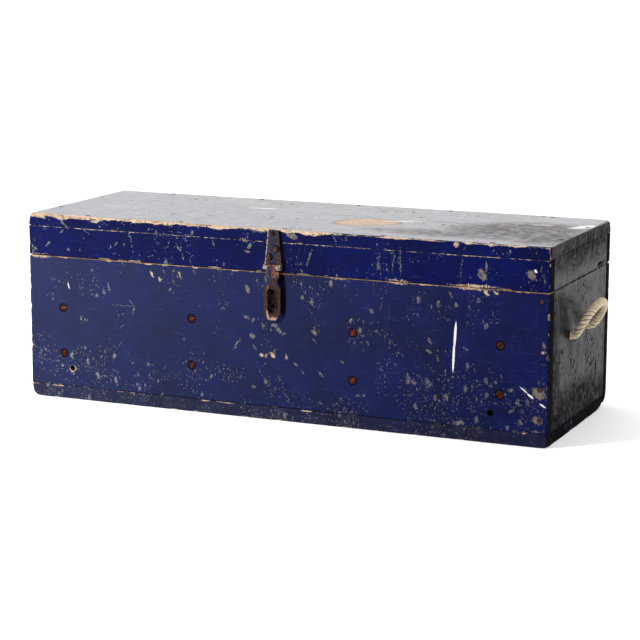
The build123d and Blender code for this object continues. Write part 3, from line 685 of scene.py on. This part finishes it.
# As in part.py. The holes are HOLE_OFFSET from the middle, and INNER_X is the board's inner face.
ROPE_Y, ROPE_Z = -2, 144
HOLE_OFFSET = 43
INNER_X = 399
# Half of a handle from inside the board to the top of the loop: out from the end, along it, up.
ROPE_HALF = [(-20, -43, 0), (-2, -43, 0), (8, -43.5, 1.8), (16, -49, 15), (25, -41, 32.5), (30, -14, 43.5)]
# A strand's radius, how far its middle is from the rope's, and the length of one turn of it.
STRAND_RADIUS = 3.0
STRAND_OFFSET = 3.3
ROPE_LAY = 20.5
STRAND_POINTS = 26
STRAND_YARNS = 7


def spline_points(name, points):
    """Points along the NURBS spline with these control points, in mm."""
    data = bpy.data.curves.new(name, "CURVE")
    data.dimensions = "3D"
    spline = data.splines.new("NURBS")
    spline.points.add(len(points) - 1)
    for point, place in zip(spline.points, points):
        point.co = (*(v * MM for v in place), 1)
    spline.order_u = 3
    spline.use_endpoint_u = True
    spline.resolution_u = 24
    thing = bpy.data.objects.new(name, data)
    mesh = bpy.data.meshes.new_from_object(thing)
    found = np.array([v.co for v in mesh.vertices]) / MM
    bpy.data.objects.remove(thing)
    bpy.data.curves.remove(data)
    bpy.data.meshes.remove(mesh)
    return found


def evenly(points, step):
    """The same line with points about one step apart."""
    runs = np.linalg.norm(np.diff(points, axis=0), axis=1)
    keep = np.concatenate([[True], runs > 1e-6])
    points = points[keep]
    distance = np.concatenate([[0], np.cumsum(runs[runs > 1e-6])])
    count = max(4, round(distance[-1] / step))
    at = np.linspace(0, distance[-1], count + 1)
    return np.stack([np.interp(at, distance, points[:, i]) for i in range(3)], 1), at


def frames(points):
    """Directions along a line and two across it that don't twist."""
    ahead = np.gradient(points, axis=0)
    ahead /= np.linalg.norm(ahead, axis=1)[:, None]
    side = np.cross(ahead[0], [0.3, 0.5, 0.81])
    sides = []
    for direction in ahead:
        side = side - direction * (side @ direction)
        side /= np.linalg.norm(side)
        sides.append(side)
    sides = np.array(sides)
    return ahead, sides, np.cross(ahead, sides)


def mesh_object(name, points, faces, materials, attributes=(), smooth=True):
    """A mesh piece from points in mm."""
    mesh = bpy.data.meshes.new(name)
    mesh.from_pydata(np.asarray(points) * MM, [], faces)
    for material in materials:
        mesh.materials.append(material)
    for key, values in dict(attributes).items():
        mesh.attributes.new(key, "FLOAT", "POINT").data.foreach_set("value", np.asarray(values, np.float32))
    if smooth:
        mesh.shade_smooth()
    mesh.update()
    return add(name, mesh)


def laid_rope(name, points):
    """Three strands laid right-handed round a line, each with its own yarns."""
    line, at = evenly(points, 0.9)
    _, side, other = frames(line)
    angle = np.linspace(0, 2 * np.pi, STRAND_POINTS, endpoint=False)
    rows, faces, yarn, valley = [], [], [], []
    for strand in range(3):
        turn = 2 * np.pi * (at / ROPE_LAY + strand / 3)
        away = np.cos(turn)[:, None] * side + np.sin(turn)[:, None] * other
        centre = line + STRAND_OFFSET * away
        _, u, v = frames(centre)
        # Each ring starts from the direction away from the rope's middle.
        way = np.arctan2((away * v).sum(1), (away * u).sum(1))[:, None] + angle
        ridge = 0.5 + 0.5 * np.cos(STRAND_YARNS * (angle - 1.35 * turn[:, None]))
        radius = (STRAND_RADIUS * (0.93 + 0.07 * ridge))[:, :, None]
        out = np.cos(way)[:, :, None] * u[:, None] + np.sin(way)[:, :, None] * v[:, None]
        ring = centre[:, None] + radius * out
        count = len(line) * STRAND_POINTS
        ids = strand * count + np.arange(count).reshape(len(line), STRAND_POINTS)
        beside = np.roll(ids, -1, axis=1)
        faces += np.stack([ids[:-1], beside[:-1], beside[1:], ids[1:]], -1).reshape(-1, 4).tolist()
        faces += [ids[0, ::-1].tolist(), ids[-1].tolist()]
        rows.append(ring.reshape(-1, 3))
        # yarn and valley say how deep a point lies between yarns and between strands; the rope's material paints
        # shade by them.
        yarn.append(1 - ridge.ravel())
        valley.append(np.tile(0.5 - 0.5 * np.cos(angle), len(line)))
    values = {"yarn": np.concatenate(yarn), "valley": np.concatenate(valley)}
    return mesh_object(name, np.concatenate(rows), faces, [rope_yarn], values)


def handle_route(side):
    """The control points of one handle, from inside one hole to inside the other."""
    half = [(side * (HALF_LENGTH + o), ROPE_Y + y, ROPE_Z + z) for o, y, z in ROPE_HALF]
    rest = [(side * (HALF_LENGTH + o), ROPE_Y - y, ROPE_Z + z) for o, y, z in reversed(ROPE_HALF)]
    return half + rest


# An overhand knot and its tail, inwards from the board: (in, along, up) from the hole's inner mouth.
KNOT_LINE = [
    (0, 0, 0), (6, 0, 0), (14, -4, -3), (23, -3, -10), (26, 6, -6), (20, 11, 3), (11, 8, 10), (7, -2, 10),
    (11, -11, 4), (20, -9, -3), (26, 0, 2), (27, 8, 8), (34, 6, 8), (40, 4, 6),
]

for side_name, side in (("left", -1), ("right", 1)):
    for number, hole in enumerate((-1, 1), 1):
        middle = ROPE_Y + hole * HOLE_OFFSET
        line = [(side * (INNER_X - i), middle - hole * side * a, ROPE_Z + u) for i, a, u in KNOT_LINE]
        knot = laid_rope(f"{side_name}_rope_knot_{number}", spline_points("knot", line))
        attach(knot, "chest")
        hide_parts(f"{side_name}_rope_knots")
    route = spline_points("handle", handle_route(side))
    rope = laid_rope(f"{side_name}_rope_handle", route)
    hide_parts(f"{side_name}_rope_loop", f"{side_name}_rope_ends")
    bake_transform(rope)


# Boards


def value_noise(points, size, seed):
    """Smooth noise from -1 to 1 at points in mm, on a lattice of this size."""
    cell = np.asarray(points) / size
    base = np.floor(cell).astype(np.int64)
    f = cell - base
    f = f * f * (3 - 2 * f)
    total = np.zeros(len(cell))
    for corner in product((0, 1), repeat=3):
        at = base + corner
        h = (at[:, 0] * 73856093) ^ (at[:, 1] * 19349663) ^ (at[:, 2] * 83492791) ^ (seed * 2654435)
        h = ((h & 0xFFFFFFFF) * 1274126177) & 0xFFFFFFFF
        h = ((h ^ (h >> 15)) * 2246822519) & 0xFFFFFFFF
        weight = np.prod(np.where(corner, f, 1 - f), axis=1)
        total += weight * ((h ^ (h >> 13)) & 0xFFFFFF) / 0xFFFFFF
    return total * 2 - 1


# How far the first grid lines are from a board's face.
NEAR_EDGE = (0, 0.3, 0.7, 1.2, 1.9, 2.8, 4.0, 5.5)
# An arris's radius and how wide it is worn to the wood, which is less than 0 where it isn't.
PLAIN_ARRIS = (1.0, -0.6)
SHARPEST_ARRIS = 0.35
ARRIS_REACH = 9
MOST_WEAR = 9.0
# The width of the patch of mesh round a hole, and how far in its wall has its first ring if it goes through.
HOLE_MARGIN = 1.3
OPEN_WALL = 3.0
# Stands in for the raw slot while paint is run over the arrises.
RUBBED = 9
# A face turned this much to an axis counts as facing that way.
FACING = 0.72


def grid_lines(low, high, step):
    """Grid lines between two faces, crowded near both, where the arrises are rounded."""
    inner_low, inner_high = low + NEAR_EDGE[-1], high - NEAR_EDGE[-1]
    count = max(1, round((inner_high - inner_low) / step))
    middle = np.linspace(inner_low, inner_high, count + 1)
    return np.concatenate([low + np.array(NEAR_EDGE[:-1]), middle, (high - np.array(NEAR_EDGE[:-1]))[::-1]])


def corners_of(node):
    """The low and high corner of a CAD node's box."""
    return [np.array(c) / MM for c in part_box(node)]


def faces_of(names):
    """The axis of each face in names such as "-y+z", and whether it is the high one."""
    return [("xyz".index(axis), sign == "+") for sign, axis in zip(names[::2], names[1::2])]


class Board:
    """A board as a dense mesh: worn arrises, chips, waviness and real holes.

    step is the grid's in mm. Of the slots, the first is paint and the second is raw wood.
    raw names the unpainted faces, such as "+y+z", and rubbed those of them that no paint ran over.
    arrises: {its two faces, such as "-y+z": (radius, width of the worn strip)}.
    corners: (place, radius, reach) where a corner is rounder.
    holes: (axis, sides, centre along the next two axes, radius, depth or None where it goes through).
    chips: (place, sizes, push, depth), and False after them where the wood doesn't show.
    """

    def __init__(
        self, node, step, seed, slots, raw="", arrises=(), corners=(), holes=(), chips=(), wavy=0.25, rubbed=""
    ):
        self.low, self.high = corners_of(node)
        self.seed, self.wavy = seed, wavy
        self.arrises, self.corners, self.chips = dict(arrises), corners, list(chips)
        self.lines = [grid_lines(a, b, step) for a, b in zip(self.low, self.high)]
        self.raw, self.holes, self.rubbed = raw, holes, rubbed
        self.faces, self.painted = [], []
        self.build()
        self.run_over()
        moved, wear = self.deform(np.array(self.points))
        self.piece = mesh_object("worn_" + node, moved, self.faces, slots, {"wear": wear})
        self.piece.data.polygons.foreach_set("material_index", self.painted)
        self.piece.data.set_sharp_from_angle(angle=math.radians(50))
        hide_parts(node)

    def keep(self, quads, outward, slot):
        """Add faces given with their corners anticlockwise as seen from the high side of their axis."""
        quads = np.asarray(quads)
        self.faces += (quads if outward else quads[:, ::-1]).tolist()
        self.painted += [slot] * len(quads)

    def build(self):
        counts = [len(line) for line in self.lines]
        surface = np.zeros(counts, bool)
        for axis in range(3):
            np.moveaxis(surface, axis, 0)[[0, -1]] = True
        ids = np.full(counts, -1)
        ids[surface] = np.arange(surface.sum())
        grid = np.stack(np.meshgrid(*self.lines, indexing="ij"), -1)
        self.points = grid[surface].tolist()
        ends = {}
        for axis, side in product(range(3), (0, 1)):
            first, second = (axis + 1) % 3, (axis + 2) % 3
            sheet = ids.transpose(axis, first, second)[-side]
            face = "-+"[side] + "xyz"[axis]
            slot = 0 if face not in self.raw else RUBBED if face in self.rubbed else 1
            taken = np.zeros((counts[first] - 1, counts[second] - 1), bool)
            for number, (hole_axis, sides, centre, radius, _) in enumerate(self.holes):
                if "xyz"[axis] == hole_axis and "-+"[side] in sides:
                    spans = []
                    for lines, middle in zip((self.lines[first], self.lines[second]), centre):
                        reach = radius + HOLE_MARGIN
                        low, high = np.searchsorted(lines, (middle - reach, middle + reach))
                        spans.append((low - 1, high))
                    (b0, b1), (c0, c1) = spans
                    taken[b0:b1, c0:c1] = True
                    loop = [(b, c0) for b in range(b0, b1)] + [(b1, c) for c in range(c0, c1)]
                    loop += [(b, c1) for b in range(b1, b0, -1)] + [(b0, c) for c in range(c1, c0, -1)]
                    ends[number, side] = self.rim(number, axis, side, [sheet[at] for at in loop], slot)
            quads = np.stack([sheet[:-1, :-1], sheet[1:, :-1], sheet[1:, 1:], sheet[:-1, 1:]], -1)
            self.keep(quads[~taken], side, slot)
        for number, hole in enumerate(self.holes):
            if hole[-1] is None:
                self.strip(ends[number, 0], ends[number, 1], False, 0)

    def run_over(self):
        """Paint that ran round an arris onto the bare face beside it, except where the two boards rub it off."""
        points, slots = np.array(self.points), np.array(self.painted)
        centres = points[np.array([face[:4] for face in self.faces])].mean(1)
        for axis, side in product(range(3), (0, 1)):
            if "-+"[side] + "xyz"[axis] not in self.raw:
                near = abs(centres[:, axis] - self.lines[axis][-side]) < NEAR_EDGE[4]
                slots[near & (slots == 1)] = 0
        self.painted = np.where(slots == RUBBED, 1, slots).tolist()

    def strip(self, ring, other, outward, slot):
        """Faces between two rings of the same count."""
        self.keep(np.stack([ring, np.roll(ring, -1), np.roll(other, -1), other], -1), outward, slot)

    def rim(self, number, axis, side, outer, slot):
        """The patch round a hole, its rounded lip and its wall. Returns the wall's inner ring."""
        _, _, centre, radius, depth = self.holes[number]
        plane = [(axis + 1) % 3, (axis + 2) % 3]
        way = np.array([self.points[i] for i in outer])[:, plane] - centre
        way /= np.linalg.norm(way, axis=1)[:, None]
        surface, inward = self.lines[axis][-side], -1 if side else 1
        rings = [np.array(outer)]
        wall = OPEN_WALL if depth is None else depth
        for reach, sunk in ((0.7, 0), (0.25, 0.08), (0, 0.4), (0, wall)):
            places = np.zeros((len(way), 3))
            places[:, axis] = surface + inward * sunk
            places[:, plane] = centre + way * (radius + reach)
            rings.append(len(self.points) + np.arange(len(way)))
            self.points += places.tolist()
        for ring, other in zip(rings, rings[1:]):
            self.strip(ring, other, side, slot)
        if depth is not None:
            self.faces.append((rings[-1] if side else rings[-1][::-1]).tolist())
            self.painted.append(1)
        return rings[-1]

    def to_arris(self, points, pair):
        """The distance from an arris."""
        gaps = []
        for axis, far in faces_of(pair):
            gaps.append(self.high[axis] - points[:, axis] if far else points[:, axis] - self.low[axis])
        return np.hypot(*gaps)

    def deform(self, points):
        def noise(size, shift, points=points):
            return value_noise(points, size, self.seed + shift)

        radius = np.full(len(points), PLAIN_ARRIS[0])
        radius *= 1 + 0.35 * noise(22, 0) + 0.25 * noise(6, 1)
        wear = np.full(len(points), -MOST_WEAR)
        uneven = 0.6 * noise(30, 2) + 0.4 * noise(9, 3)
        for a in range(3):
            for b in range(a + 1, 3):
                for sa, sb in product("-+", repeat=2):
                    pair = sa + "xyz"[a] + sb + "xyz"[b]
                    turned = pair[2:] + pair[:2]
                    size, width = self.arrises.get(pair, self.arrises.get(turned, PLAIN_ARRIS))
                    distance = self.to_arris(points, pair)
                    near = np.exp(-((distance / ARRIS_REACH) ** 2))
                    radius += near * (size - PLAIN_ARRIS[0]) * (1 + 0.4 * uneven)
                    wear = np.maximum(wear, width + abs(width) * 1.1 * uneven - distance)
        for corner, size, reach in self.corners:
            distance = np.linalg.norm(points - np.array(corner), axis=1)
            radius += size * np.exp(-((distance / reach) ** 2))
        radius = np.clip(radius, SHARPEST_ARRIS, None)

        # Round the arrises.
        centre, half = (self.low + self.high) / 2, (self.high - self.low) / 2
        offset = points - centre
        core = half - radius[:, None]
        beyond = np.maximum(np.abs(offset) - core, 0)
        length = np.linalg.norm(beyond, axis=1)
        over = length > radius
        shrink = np.where(over, radius / np.maximum(length, 1e-9), 1.0)
        moved = centre + np.sign(offset) * (np.minimum(np.abs(offset), core) + beyond * shrink[:, None])

        # Slight hollows in the faces, never outwards.
        for axis in range(3):
            on = np.abs(np.abs(offset[:, axis]) - half[axis]) < 1e-6
            dip = 0.5 + 0.4 * noise(70, 5 + axis) + 0.05 * noise(12, 9)
            moved[:, axis] -= on * np.sign(offset[:, axis]) * self.wavy * dip

        # Chips knocked out of arrises and faces.
        for place, sizes, push, depth, *bare in self.chips:
            near = np.flatnonzero((abs(points - place) < np.array(sizes) * 1.2).all(1))
            inside = 1 - (((points[near] - place) / sizes) ** 2).sum(1)
            bite = np.clip(inside, 0, None) ** 0.6 * (1 + 0.35 * noise(1.8, 12, points[near]))
            moved[near] += bite[:, None] * np.array(push) * depth
            if bare != [False]:
                wear[near] = np.maximum(wear[near], np.where(inside > -0.4, 3.0 * inside - 0.2, -MOST_WEAR))
        return moved, np.clip(wear, -MOST_WEAR, MOST_WEAR)


def knocks(rng, low, high, pair, count, along=(2, 6), across=(1.0, 2.4), depth=(0.5, 1.5)):
    """Random chips along one arris of a box."""
    found = []
    free = [a for a in range(3) if "xyz"[a] not in pair][0]
    for _ in range(count):
        place, push, sizes = [0.0] * 3, [0.0] * 3, [0.0] * 3
        size = rng.uniform(*across)
        for axis, far in faces_of(pair):
            place[axis] = high[axis] if far else low[axis]
            push[axis] = -0.7 if far else 0.7
            sizes[axis] = size * rng.uniform(0.8, 1.3)
        place[free] = rng.uniform(low[free] + 3, high[free] - 3)
        sizes[free] = rng.uniform(*along)
        found.append((place, sizes, push, rng.uniform(*depth)))
    return found


def chips_for(node, seed, *wanted):
    """Random chips for a board: (pair of faces, count, and how big) for each arris."""
    rng = np.random.default_rng(seed)
    found = []
    for pair, count, *sizes in wanted:
        found += knocks(rng, *corners_of(node), pair, count, *sizes)
    return found


# Holes, as part.py has them: their radii, with a little room round each head, and where they are.
HEAD_GAP = 0.3
NAIL, SCREW = 3.2 + HEAD_GAP, 5.6 + HEAD_GAP
EMPTY_HOLES = [(-345.5, 49), (334.7, 44.3)]
ROW_X = (-320, -160, 10, 165, 330)
CORNER_Z = (40, 84, 210)


def nails_on(axis, side, spots):
    """Holes for the heads of nails."""
    return [(axis, side, spot, NAIL, 2.0) for spot in spots]


# Centres are given along the next two axes in turn: z, x on a y face; x, y on a z face; y, z on an x face.
corner_nails = [(z, side * 407.5) for side in (-1, 1) for z in CORNER_Z]
front_holes = nails_on("y", "-", corner_nails)
front_holes += [("y", "-", (z, x), SCREW, 2.6) for x, z in SCREW_SPOTS]
front_holes += [("y", "-+", (z, x), 4.0, None) for x, z in EMPTY_HOLES]
back_holes = nails_on("y", "+", corner_nails + [(12, x) for x in ROW_X])
back_holes += [("y", "+", (z, x), SCREW, 2.6) for x, z in SCREW_SPOTS]
rope_holes = [("x", "-+", (y, ROPE_Z), 7.25, None) for y in (ROPE_Y - HOLE_OFFSET, ROPE_Y + HOLE_OFFSET)]
row_nails = [(side * 409, y) for side in (-1, 1) for y in (-70, 60)]
rail_nails = [(245.8, side * 409) for side in (-1, 1)]


def board(name, body, step, seed, paints, knocked=(), chips=(), own={"-x+x": edge_paint}, **settings):
    """A board on a body.

    knocked is chips_for's seed and wishes, and chips are more chips, listed one by one.
    own gives some of the painted faces a paint of their own.
    """
    random = chips_for(name, *knocked) if knocked else []
    made = Board(name, step, seed, paints, chips=random + list(chips), **settings).piece
    mesh = made.data
    index = np.zeros(len(mesh.polygons), int)
    normal = np.zeros(len(index) * 3, np.float32)
    mesh.polygons.foreach_get("material_index", index)
    mesh.polygons.foreach_get("normal", normal)
    for faces, paint in own.items():
        mesh.materials.append(paint)
        for axis, far in faces_of(faces):
            facing = normal[axis::3] * (1 if far else -1) > FACING
            index[(index == 0) & facing] = len(mesh.materials) - 1
    mesh.polygons.foreach_set("material_index", index)
    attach(made, body)


def end_pieces(name, body, step, seed, seam, other, knock_seed, right_chips=(), **settings):
    """The left and right piece that meet the seam under the lid with this face."""
    for side_name, outer, inner in (("left", "-x", "+x"), ("right", "+x", "-x")):
        board(
            name.format(side_name), body, step, seed + len(side_name), [end_paint, raw_y], raw=inner + "-y+y-z+z",
            arrises={
                outer + seam: (1.2, -5), outer + {"+z": "-z", "-z": "+z"}[seam]: other,
                outer + "-y": (0.7, -7), outer + "+y": (0.7, -7),
            },
            knocked=(knock_seed, (outer + seam, 3, (2, 8), (0.8, 2), (0.4, 1.2))),
            chips=right_chips if side_name == "right" else (), own={}, **settings
        )


board(
    "front_board", "chest", 3.0, 11, [body_paint, raw_x], raw="+y+z-z", holes=front_holes, rubbed="+z",
    arrises={"-y+z": (0.9, 0.2), "-y-z": (0.8, -0.6), "-x-y": (2.4, -0.3), "+x-y": (1.9, -6)},
    knocked=(
        1, ("-y+z", 20, (2, 9), (0.8, 2.2), (0.4, 1.2)), ("-x-y", 16), ("+x-y", 4),
        ("-y-z", 16, (2, 9), (0.6, 1.6), (0.3, 0.9)),
    ),
)
board(
    "bottom_board", "chest", 4.0, 21, [foot_paint, raw_x], raw="-z+z",
    holes=nails_on("z", "-", [(x, -142) for x in ROW_X] + row_nails),
    arrises={"-y-z": (2.4, -1.4), "-y+z": (1.0, -1.6), "+x-z": (2.6, -6), "+x-y": (2.6, -5), "-x-y": (3.2, -0.8)},
    corners=(((-419, -152, 0), 5, 12), ((419, 132, 0), 6, 16)),
    knocked=(2, ("-y-z", 16, (2, 8)), ("-y+z", 10, (2, 12), (0.6, 1.6), (0.3, 1.0)), ("+x-z", 3), ("-x-z", 4)),
)
board(
    "back_board", "chest", 4.5, 31, [back_paint, raw_x], raw="-y+z-z", holes=back_holes,
    arrises={"+x-z": (4.0, -2.0), "+x+y": (2.2, -1.0), "-x+y": (2.2, -1.0), "+y+z": (1.4, -0.6), "+y-z": (2.4, 0)},
    corners=(((419, 152, 5), 6, 12),),
    knocked=(3, ("+y-z", 20), ("+x+y", 10), ("+y+z", 16, (2, 8), (0.7, 1.8), (0.4, 1.0))),
)
end_pieces("{}_end_board", "chest", 3.5, 41, "+z", (0.8, -6), 5, holes=rope_holes)
board(
    "lid_panel", "lid", 3.2, 51, [lid_paint, raw_x], raw="-z", own={"-x+x": end_paint, "+z": top_paint},
    holes=nails_on("z", "+", [(x, y) for y in (-142, 142) for x in ROW_X] + row_nails), wavy=0.5,
    arrises={
        "-y+z": (3.2, 4.4), "-x+z": (3.2, 2.4), "+x+z": (2.2, -1.6), "+y+z": (2.4, 1.6),
        "-x-y": (2.6, 0.0), "+x-y": (2.0, -6), "-y-z": (0.6, -6), "+x-z": (0.6, -6),
    },
    corners=(((-419, -152, 287), 1.5, 10), ((419, -152, 287), 1.5, 10), ((419, 152, 287), 3, 12)),
    knocked=(
        6, ("-y+z", 60, (2, 10), (1.2, 3.0), (0.5, 1.5)), ("-x+z", 12), ("+x+z", 8, (2, 8), (1, 2.4)),
        ("+x-y", 4), ("-y-z", 4, (2, 8), (0.5, 1.2), (0.3, 0.8)),
    ),
)
board(
    "lid_front_rail", "lid", 3.0, 61, [lid_paint, raw_x], raw="+y-z+z",
    holes=nails_on("y", "-", rail_nails),
    arrises={"-y-z": (0.9, -2.0), "-y+z": (0.6, 0.4), "-x-y": (2.4, -0.3), "+x-y": (1.8, -6)},
    knocked=(
        7, ("-y-z", 14, (2, 12), (0.8, 2.4), (0.4, 1.3)), ("-x-y", 4), ("+x-y", 2),
        ("-y+z", 3, (2, 6), (0.4, 1), (0.3, 0.6)),
    ),
)
board(
    "lid_back_rail", "lid", 4.0, 71, [back_paint, raw_x], raw="-y-z+z",
    holes=nails_on("y", "+", rail_nails),
    arrises={"+y-z": (1.6, 0.8), "+x+y": (2.2, 1.0), "-x+y": (2.2, 1.0)},
    knocked=(8, ("+y-z", 20, (2, 8)), ("+x+y", 4)),
)
# The right rail has lost a long flake over the seam.
FLAKE = [
    ((419, 98, 226), (3, 16, 3.4), (-1, 0, 0.2), 2.6, False),
    ((419, 112, 229), (2.4, 9, 2.2), (-1, 0, 0), 1.8, False),
]
end_pieces("lid_{}_rail", "lid", 3.0, 81, "-z", (0.6, -6), 9, FLAKE)


# Materials of the CAD pieces that stay


# By the end of the node's name. The first that fits is taken.
FINISHES = {
    "hasp_screws": dome_metal, "screws": screw_metal, "nails": nail_metal, "runner": runner_wood,
    "strap": strap_metal, "hasp_leaf": leaf_metal, "leaf": hinge_metal, "staple": dark_iron, "plate": dark_iron,
    "pin": old_iron, "pins": old_iron,
}
for name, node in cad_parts.items():
    finish = next((FINISHES[end] for end in FINISHES if name.endswith(end)), None)
    if finish:
        node.data.materials.clear()
        node.data.materials.append(finish)


# Floor and surroundings


def floor():
    """A plain pale floor that glows a little, so that it is nearly white."""
    s = Shader("floor")
    shade = s.patches((900, 1.0, 2), 0.3, 0.7)
    s.colour = s.mix(shade, [0.86, 0.86, 0.87, 1], [0.9, 0.9, 0.9, 1])
    glow = {"Emission_Color": (1, 1, 1, 1), "Emission_Strength": 0.22}
    material = s.finish(0.9, specular=0.1, **glow)
    span = 30000
    corners = [(-span, -span, 0), (span, -span, 0), (span, span, 0), (-span, span, 0)]
    mesh_object("floor", corners, [(0, 1, 2, 3)], [material], smooth=False)


floor()

world = bpy.data.worlds.new("studio")
scene.world = world
world.use_nodes = True
world.node_tree.nodes.clear()
world_node = partial(new_node, world.node_tree)

# Bright above and behind the chest, dim below. The camera itself sees plain white.
direction = world_node("TexCoord", output=0)
split = world_node("SeparateXYZ", {0: direction}).node.outputs
upward = world_node("Math", {0: split[2], 1: 0.6, 2: split[1]}, operation="MULTIPLY_ADD")
values = {0: upward, 1: -0.6, 2: 0.8, 3: 0.2, 4: 1.5}
behind = world_node("MapRange", values, interpolation_type="SMOOTHSTEP")
seen = world_node("LightPath")
strength = world_node("Mix", {0: seen, 2: behind, 3: 1.0}, data_type="FLOAT")
shine = world_node("Background", {0: (1, 1, 1, 1), 1: strength})
world_node("OutputWorld", {0: shine}, None)
